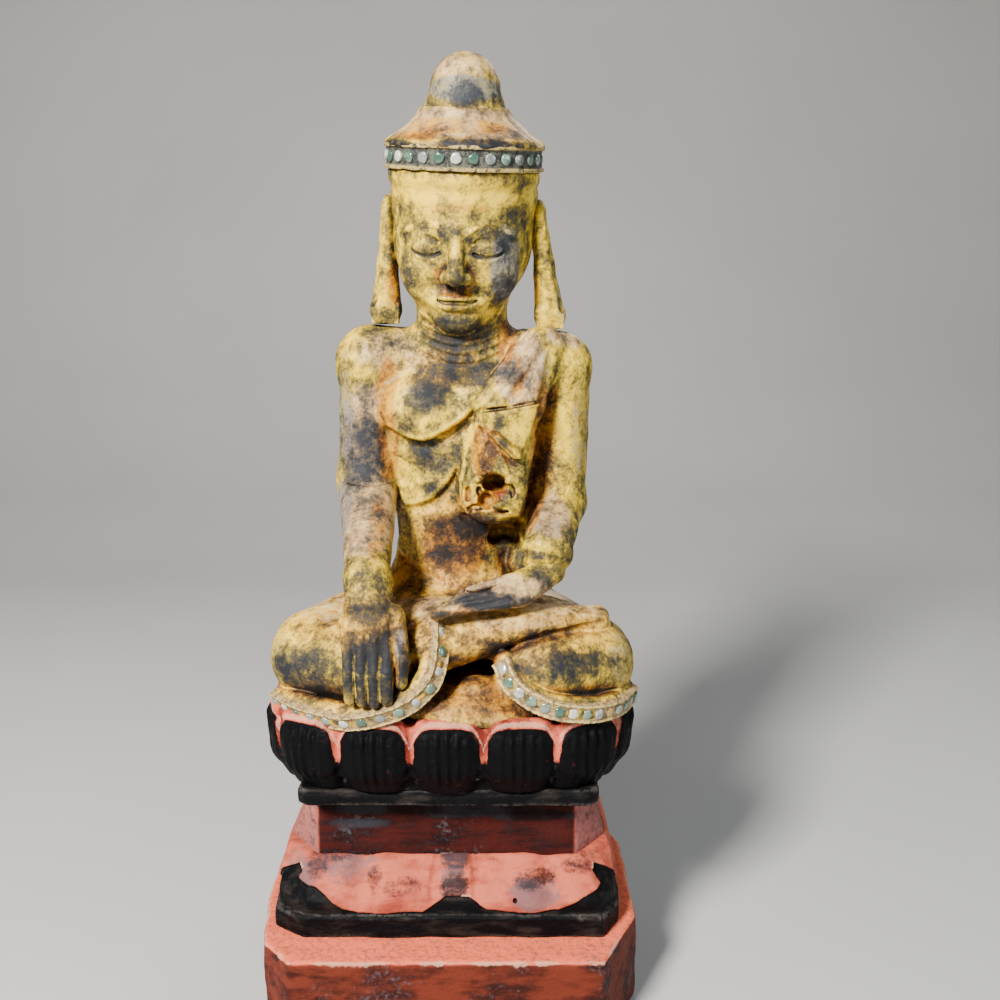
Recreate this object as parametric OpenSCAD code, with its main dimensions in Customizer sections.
// Seated wooden figure on a lotus seat and a tiered pedestal, in millimetres.
// +Z is up, the front faces -Y, and the origin is the middle of the pedestal's foot.

/* [Pedestal] */
// Width of the bottom block
base_w = 210; // [200:1:230]
// Depth of the bottom block
base_d = 168; // [166:1:180]
// Height of the bottom block
base_h = 49; // [30:1:70]
// Width of the sloping tier
tier_w = 187; // [170:1:188]
// Depth of the sloping tier
tier_d = 122; // [115:1:140]
// Height of the tier, up to the foot of the neck
tier_h = 39; // [36:1:46]
// Height of the tier's upright sides
tier_side_h = 20; // [15:1:30]
// Width of the neck's front face
neck_front_w = 140; // [120:1:150]
// Height of the neck
neck_h = 38; // [30:1:50]
// Width of the board under the lotus
board_w = 158; // [150:1:164]
// Thickness of the board under the lotus
board_h = 9; // [7:0.5:12]

/* [Lotus seat] */
// Width of the lotus seat at its widest
lotus_w = 204; // [194:1:206]
// Depth of the lotus seat at its widest
lotus_d = 160; // [150:1:170]
// Height of the lotus seat
lotus_h = 37; // [32:1:44]
// Number of petals round the seat
petals = 16; // [14:2:20]

/* [Figure] */
// Lean of the figure towards its left side, in degrees
lean = 1.7; // [0:0.1:2.5]
// Forward nod of the head, in degrees
nod = 10; // [6:1:12]
// Radius of the head inside the headband
head_r = 40; // [38:0.5:41]
// Half the spacing of the knees
knee_x = 78; // [75:1:80]

/* [Inlay] */
// Diameter of a glass round
glass_d = 5.6; // [4.4:0.1:6]
// How far a glass round stands proud of its strip
glass_proud = 0.6; // [0.3:0.1:1]
// Number of glass rounds in the headband
band_glass = 30; // [24:2:32]
// Number of glass rounds in each hem strip
hem_glass = 14; // [12:1:15]

/* [Hidden] */

// Facets of a true round, of a turned part of the figure, of a carved ball, and of a groove
fine = 64;
turned = 32;
carved = 14;
groove = 10;

// Levels of the stacked blocks
tier_z = base_h;
neck_z = tier_z + tier_h;
board_z = neck_z + neck_h;
lotus_z = board_z + board_h;
seat_z = lotus_z + lotus_h;

// The seat and the figure stand a little to the left side of the pedestal's middle
seat_x = 2;

// Dowels go in pairs, left and right of the middle, and their holes are a little larger
dowel_r = 5;
dowel_x = 38;
dowel_y = 10;
dowel_bite = 14;
slack = 0.15;

// ---- helpers -------------------------------------------------------------

// A block's plan, the same at front and back: each list gives the corner points of one side
// as distances in from the block's corner, from the front edge round to the side
function plan(w, d, left, right) = concat(
    [for (i = [len(left) - 1 : -1 : 0]) [-w/2 + left[i][0], -d/2 + left[i][1]]],
    [for (c = right) [w/2 - c[0], -d/2 + c[1]]],
    [for (i = [len(right) - 1 : -1 : 0]) [w/2 - right[i][0], d/2 - right[i][1]]],
    [for (c = left) [-w/2 + c[0], d/2 - c[1]]]);

// An outline between an ellipse (power 2) and a rectangle, from the middle of the front edge
function squircle(w, d, power, n) = [for (i = [0 : n - 1]) let (a = 270 + 360 * i / n)
    [w/2 * sign(cos(a)) * pow(abs(cos(a)), 2/power), d/2 * sign(sin(a)) * pow(abs(sin(a)), 2/power)]];

function unit(v) = v / norm(v);

// Length of a path up to its point i, and the point at a length s along it
function path_length(path, i) = i == 0 ? 0 : path_length(path, i - 1) + norm(path[i] - path[i - 1]);
function along(path, s, i = 0) =
    let (step = norm(path[i + 1] - path[i]))
    s <= step || i == len(path) - 2 ? path[i] + (path[i + 1] - path[i]) * s / step
                                    : along(path, s - step, i + 1);

// A path moved a distance towards a point
function inset(path, middle, distance) = [for (p = path) p - unit(p - middle) * distance];

// Puts the Z axis of its children on the direction v, at the point p
module facing(p, v) {
    translate(p) rotate([0, acos(v[2] / norm(v)), atan2(v[1], v[0])]) children();
}

// A ball stretched to three radii
module ball(p, r) {
    translate(p) scale(r) sphere(1, $fn = carved);
}

// A limb between two stretched balls
module limb(p, r, q, s) {
    hull() {
        ball(p, r);
        ball(q, s);
    }
}

// A round rod along a path, in ten even lengths
module rod(path, r) {
    steps = 10;
    total = path_length(path, len(path) - 1);
    for (i = [0 : steps - 1]) hull() {
        translate(along(path, total * i / steps)) sphere(r, $fn = groove);
        translate(along(path, total * (i + 1) / steps)) sphere(r, $fn = groove);
    }
}

module prism(points, z, h) {
    translate([0, 0, z]) linear_extrude(h) polygon(points);
}

module dowel_pair(z0, z1, r) {
    for (side = [-1, 1])
        translate([side * dowel_x, dowel_y, z0]) cylinder(r = r, h = z1 - z0, $fn = fine);
}

// Places its children on the leaning figure, whose own origin is the middle of its seat
module on_seat() {
    translate([seat_x, 0, seat_z]) rotate([0, lean, 0]) children();
}

// ---- pedestal ------------------------------------------------------------

// The corners are cut by hand, so the left and right sides differ
base_left = [[24, 0], [8, 18], [0, 67]];
base_right = [[22, 0], [0, 43]];
tier_left = [[19, 0], [2, 11], [0, 30]];
tier_right = [[11, 0], [1, 16], [0, 30]];
fascia_h = 12;
fascia_step = 2;
neck_foot_w = 176;
neck_top_w = 144;
neck_d = 96;

module base_block() {
    color("indianred") difference() {
        prism(plan(base_w, base_d, base_left, base_right), 0, base_h);
        dowel_pair(base_h - dowel_bite, base_h + 1, dowel_r + slack);
    }
}

// An upright band, then sides that slope in to the foot of the neck
module apron_tier() {
    color("salmon") difference() {
        union() {
            prism(plan(tier_w + 2 * fascia_step, tier_d + 2 * fascia_step, tier_left, tier_right), tier_z, fascia_h);
            hull() {
                prism(plan(tier_w, tier_d, tier_left, tier_right), tier_z + fascia_h, tier_side_h - fascia_h);
                prism(plan(neck_foot_w, neck_d, [[16, 0], [0, 16]], [[16, 0], [0, 16]]), tier_z + fascia_h, tier_h - fascia_h);
            }
        }
        dowel_pair(tier_z - 1, neck_z + 1, dowel_r + slack);
    }
}

module neck_block() {
    flare = (neck_foot_w - neck_front_w) / 2;
    color("firebrick") difference() {
        hull() {
            prism(plan(neck_foot_w, neck_d, [[flare, 0], [0, 22]], [[flare, 0], [0, 22]]), neck_z, 3);
            prism(plan(neck_top_w, neck_d - 4, [[4, 0], [0, 8]], [[4, 0], [0, 8]]), neck_z, neck_h);
        }
        dowel_pair(neck_z - 1, board_z + 1, dowel_r + slack);
    }
}

module seat_board() {
    color("dimgray") difference() {
        translate([seat_x, 0, 0])
            prism(plan(board_w, lotus_d - 28, [[5, 0], [0, 5]], [[5, 0], [0, 5]]), board_z, board_h);
        dowel_pair(board_z - 1, lotus_z + 1, dowel_r + slack);
    }
}

// One pair pins the bottom block, the tier and the neck; the next pins the neck, the board and the lotus
dowel_split_z = neck_z + dowel_bite;

module pedestal_dowels() {
    color("tan") dowel_pair(base_h - dowel_bite + 0.5, dowel_split_z, dowel_r);
}

module seat_dowels() {
    color("tan") dowel_pair(dowel_split_z + 1, lotus_z + dowel_bite, dowel_r);
}

// ---- lotus seat ----------------------------------------------------------

petal_tall = lotus_h - 3;
petal_wide = 33;
petal_thick = 12;
petal_sunk = 5;
lotus_power = 3.6;

// The closed line that the petals' outer faces stand on
rim = let (outline = squircle(lotus_w - 2, lotus_d - 2, lotus_power, 96)) concat(outline, [outline[0]]);
rim_length = path_length(rim, len(rim) - 1);

// A petal: two arcs that meet in a point at its tip and at its foot
module petal() {
    arc_r = (petal_tall * petal_tall + petal_wide * petal_wide) / (4 * petal_wide);
    translate([-petal_thick, 0, petal_tall/2 + 1]) rotate([90, 0, 90]) linear_extrude(petal_thick)
        intersection_for (side = [-1, 1])
            translate([side * (arc_r - petal_wide/2), 0]) circle(arc_r, $fn = fine);
}

module lotus_seat() {
    color("black") difference() {
        translate([seat_x, 0, lotus_z]) union() {
            hull() {
                prism(squircle(lotus_w - 2 * petal_sunk, lotus_d - 2 * petal_sunk, lotus_power, fine), 18, lotus_h - 18);
                prism(squircle(board_w - 2, lotus_d - 32, lotus_power, fine), 0, 2);
            }
            for (i = [0 : petals - 1]) {
                s = rim_length * i / petals;
                back = along(rim, (s + rim_length - 4) % rim_length);
                ahead = along(rim, s + 4);
                translate(along(rim, s)) rotate([0, 0, atan2(back[0] - ahead[0], ahead[1] - back[1])]) petal();
            }
        }
        dowel_pair(lotus_z - 1, lotus_z + dowel_bite + 0.5, dowel_r + slack);
        dowel_pair(seat_z - dowel_bite - 0.5, seat_z + 1, dowel_r + slack);
    }
}

module figure_dowels() {
    color("tan") dowel_pair(seat_z - dowel_bite, seat_z + dowel_bite, dowel_r);
}

// ---- figure, in its own frame: the origin is the middle of its seat -----------

right_shoulder = [-49, 8, 181];
left_shoulder = [53, 8, 181];
right_elbow = [-50, 2, 110];
left_elbow = [57, 8, 104];
right_wrist = [-43, -58, 67];
left_wrist = [50, -38, 78];
right_cut_z = 114;
head_z = 232;
band_up = 56;
band_h = 12;
band_deep = 2.4;

// Places its children in the head's frame, whose origin is the middle of the head
module on_head() {
    translate([0, 4, head_z]) rotate([nod, 0, -3]) children();
}

module headband_ring(extra, facets) {
    on_head() translate([0, 0, band_up - band_h/2 - extra]) rotate_extrude($fn = facets)
        translate([head_r - 1.2 - extra, 0]) square([band_deep + 2 * extra, band_h + 2 * extra]);
}

module head() {
    on_head() {
        limb([0, -2, 6], [36, 38, 28], [0, 0, 40], [39, 39, 14]);
        limb([0, -12, -16], [22, 22, 14], [0, -2, 8], [35, 37, 28]);
        limb([0, -43, -4], [6, 6, 4], [0, -36, 18], [3, 5, 4]);
        translate([0, 0, 40]) cylinder(r = head_r, h = 21, $fn = turned);
        translate([0, 0, 61]) cylinder(r1 = head_r, r2 = 29, h = 10, $fn = turned);
        translate([0, 0, 71]) cylinder(r1 = 29, r2 = 21.5, h = 11, $fn = turned);
        ball([0, 0, 82], [21.5, 21.5, 22]);
    }
}

module torso() {
    limb([0, 10, 34], [50, 42, 24], [0, 10, 78], [33, 25, 16]);
    limb([0, 10, 78], [33, 25, 16], [2, 8, 146], [46, 29, 30]);
    limb([2, 8, 146], [46, 29, 30], [2, 8, 176], [48, 24, 22]);
    limb(right_shoulder, [18, 19, 18], left_shoulder, [18, 19, 18]);
    limb([0, 4, 172], [27, 24, 16], [0, 2, 216], [24, 24, 8]);
    // The robe closes the gap between the body and the left arm
    limb([40, 12, 150], [12, 14, 20], [38, 8, 92], [14, 14, 12]);
}

module upper_arms() {
    limb(right_shoulder, [18, 19, 18], right_elbow, [16.5, 17, 15]);
    limb(left_shoulder, [18, 19, 18], left_elbow, [15, 17, 14]);
    limb(left_elbow, [15, 17, 14], left_wrist, [13, 12, 10]);
}

// The crossed legs: thighs out to the knees, shins across the front, the right foot on top
module legs() {
    for (side = [-1, 1]) {
        limb([side * 34, 16, 30], [30, 30, 26], [side * knee_x, -32, 20], [20, 24, 20]);
        limb([side * knee_x, -32, 20], [20, 24, 20], [side * 14, -56, 20], [14, 17, 18]);
    }
    limb([-20, -54, 34], [18, 14, 12], [76, -36, 40], [9, 12, 8]);
    limb([0, 20, 8], [84, 50, 10], [0, -24, 8], [80, 46, 10]);
    limb([-10, -34, 42], [36, 26, 16], [46, -34, 44], [20, 20, 14]);
}

// The robe over the left shoulder, and its long fold down the chest
module robe_flap() {
    limb([44, -8, 194], [12, 10, 7], [27, -27, 160], [18, 7, 8]);
    limb([27, -26, 158], [17, 7, 8], [22, -26, 106], [16, 9, 10]);
}

// The robe's edge behind each hem strip
module hem_backing(path, middle) {
    rod(inset(path, middle, 4), strip_r + 2.5);
}

module figure_block() {
    color("darkkhaki") difference() {
        on_seat() {
            head();
            torso();
            upper_arms();
            legs();
            robe_flap();
            hem_backing(right_hem, right_leg_middle);
            hem_backing(left_hem, left_leg_middle);
        }
        translate([-150, -150, seat_z - 60]) cube([300, 300, 60]);
        dowel_pair(seat_z - 1, seat_z + dowel_bite + 0.5, dowel_r + slack);
        on_seat() {
            right_forearm_mass(0.25, 0.25);
            left_hand_mass(0.25);
            headband_ring(0.2, turned);
            rod(right_hem, strip_r + slack);
            rod(left_hem, strip_r + slack);
            right_peg(peg_r + slack, 0.5);
            left_peg(peg_r + slack, 0.5);
            for (side = [-1, 1]) {
                ear_mass(side, 0.2);
                ear_peg(side, ear_peg_r + slack, 0.5);
            }
        }
    }
}

// ---- arms and hands --------------------------------------------------------

peg_r = 3;

// The right arm below the joint: the forearm, and the hand over the shin
module right_forearm_mass(grow, gap) {
    g = [grow, grow, grow];
    intersection() {
        union() {
            limb(right_elbow + [0, 0, 2], g + [16.5, 16.5, 15], right_wrist, g + [11, 10, 10]);
            limb(right_wrist, g + [11, 10, 10], [-40, -73, 48], g + [13.5, 6, 8]);
            for (i = [0 : 3])
                limb([-49 + 6.2 * i, -74, 46], g + [3.6, 4, 4], [-47 + 5.8 * i, -80, 18], g + [2.8, 3.2, 3]);
            limb([-27, -70, 50], g + [4, 5, 6], [-22.5, -77, 26], g + [3.2, 3.4, 4]);
        }
        translate([-100, -150, 0]) cube([100, 300, right_cut_z + gap]);
    }
}

module right_forearm() {
    color("slategray") on_seat() difference() {
        right_forearm_mass(0, 0);
        right_peg(peg_r + slack, 0.5);
    }
}

module right_peg(r, extra) {
    translate([right_elbow[0], right_elbow[1] + 1, right_cut_z - 10 - extra])
        cylinder(r = r, h = 20 + 2 * extra, $fn = fine);
}

module right_forearm_peg() {
    color("tan") on_seat() right_peg(peg_r, 0);
}

// The left hand lies in the lap, palm up, its wrist in the mouth of the sleeve
module left_hand_mass(grow) {
    g = [grow, grow, grow];
    limb([49, -46, 72], g + [8, 8, 8], [31, -57, 66], g + [11, 8, 5.5]);
    for (i = [0 : 3])
        limb([28 - 2 * i, -64 + 5 * i, 64 + 0.6 * i], g + [6, 3, 3], [-6 + 2 * i, -66 + 4 * i, 57], g + [3, 2.4, 2.4]);
    limb([38, -50, 73], g + [6, 4, 3.6], [12, -54, 71], g + [3, 2.6, 2.4]);
}

module left_hand() {
    color("slategray") on_seat() difference() {
        left_hand_mass(0);
        left_peg(peg_r + slack, 0.5);
    }
}

left_peg_start = [47, -50, 70];
left_peg_way = unit([5, 13, 5]);

module left_peg(r, extra) {
    facing(left_peg_start - left_peg_way * extra, left_peg_way)
        cylinder(r = r, h = 18 + 2 * extra, $fn = fine);
}

module left_hand_peg() {
    color("tan") on_seat() left_peg(peg_r, 0);
}

// ---- ears --------------------------------------------------------------------

ear_peg_r = 1.6;
ear_top_x = 40;

// The left ear flares out to the shoulder, the right one hangs straight
function ear_foot_x(side) = side < 0 ? 40 : 48;

// A long ear: a flat slab that hangs from beside the eye to the shoulder
module ear_mass(side, grow) {
    g = [grow, grow, grow];
    middle = [side * (ear_top_x + ear_foot_x(side))/2, 4, 230];
    limb([side * ear_top_x, 2, 258], g + [4, 11, 10], middle, g + [4.8, 8, 10]);
    limb(middle, g + [4.8, 8, 10], [side * ear_foot_x(side), 4, 206], g + [7, 6, 5]);
}

module ear_peg(side, r, extra) {
    translate([side * (33 - extra), 2, 254]) rotate([0, side * 90, 0])
        cylinder(r = r, h = 8.5 + 2 * extra, $fn = fine);
}

module ear(side) {
    color("darkkhaki") on_seat() difference() {
        ear_mass(side, 0);
        ear_peg(side, ear_peg_r + slack, 0.5);
    }
}

module right_ear() {
    ear(-1);
}

module left_ear() {
    ear(1);
}

module ear_pegs() {
    color("tan") on_seat() for (side = [-1, 1])
        ear_peg(side, ear_peg_r, 0);
}

// ---- lacquer strips and glass rounds ---------------------------------------

strip_r = 4;
glass_thick = 2;

// The runs of the robe's two hems over the legs, and the point that each faces away from
right_hem = [[-5.5, -60, 51], [-5, -69, 38], [-9, -75, 24], [-23, -77, 12],
    [-46, -75, 4], [-64, -68, 3], [-79, -58, 2.6], [-92, -43, 2.4]];
right_leg_middle = [-42, -30, 30];
left_hem = [[27, -66, 34], [33, -73, 24], [46, -76, 16], [59, -75, 12], [74, -69, 9.5], [88, -56, 8], [98, -36, 8]];
left_leg_middle = [50, -26, 24];

function run(path) = path_length(path, len(path) - 1);

// Every round of a hem whose place in the row is in the list
module rounds(path, middle, which, extra, facets) {
    for (i = which) {
        p = along(path, (i + 0.5) * run(path) / hem_glass);
        facing(p + unit(p - middle) * (strip_r + glass_proud - glass_thick - extra), p - middle)
            cylinder(r = glass_d/2 + extra, h = glass_thick + 2 * extra, $fn = facets);
    }
}

amber_round = 9;
clear_rounds = [0 : 2 : hem_glass - 1];
green_rounds = [1 : 2 : hem_glass - 1];
left_green_rounds = [for (i = green_rounds) if (i != amber_round) i];

module hem_strip(path, middle) {
    color("goldenrod") on_seat() difference() {
        rod(path, strip_r);
        rounds(path, middle, [0 : hem_glass - 1], 0.1, groove);
    }
}

module right_hem_strip() {
    hem_strip(right_hem, right_leg_middle);
}

module left_hem_strip() {
    hem_strip(left_hem, left_leg_middle);
}

module right_hem_glass_clear() {
    color("azure") on_seat() rounds(right_hem, right_leg_middle, clear_rounds, 0, fine);
}

module right_hem_glass_green() {
    color("darkseagreen") on_seat() rounds(right_hem, right_leg_middle, green_rounds, 0, fine);
}

module left_hem_glass_clear() {
    color("azure") on_seat() rounds(left_hem, left_leg_middle, clear_rounds, 0, fine);
}

module left_hem_glass_green() {
    color("darkseagreen") on_seat() rounds(left_hem, left_leg_middle, left_green_rounds, 0, fine);
}

module left_hem_glass_amber() {
    color("gold") on_seat() rounds(left_hem, left_leg_middle, [amber_round], 0, fine);
}

// Every second round of the headband, from the first one given
module band_rounds(first, extra) {
    on_head() for (i = [first : 2 : band_glass - 1])
        rotate([0, 0, 360 * i / band_glass - 90])
            translate([head_r - 1.2 + band_deep + glass_proud - glass_thick - extra, 0, band_up])
                rotate([0, 90, 0]) cylinder(r = glass_d/2 + extra, h = glass_thick + 2 * extra, $fn = fine);
}

module headband_strip() {
    color("darkolivegreen") on_seat() difference() {
        headband_ring(0, fine);
        for (first = [0, 1])
            band_rounds(first, 0.1);
    }
}

module headband_glass_clear() {
    color("azure") on_seat() band_rounds(0, 0);
}

module headband_glass_green() {
    color("darkseagreen") on_seat() band_rounds(1, 0);
}

// ---- nodes -----------------------------------------------------------------

base_block();
apron_tier();
neck_block();
seat_board();
lotus_seat();
pedestal_dowels();
seat_dowels();
figure_dowels();
figure_block();
right_forearm();
right_forearm_peg();
left_hand();
left_hand_peg();
right_ear();
left_ear();
ear_pegs();
headband_strip();
headband_glass_clear();
headband_glass_green();
right_hem_strip();
right_hem_glass_clear();
right_hem_glass_green();
left_hem_strip();
left_hem_glass_clear();
left_hem_glass_green();
left_hem_glass_amber();
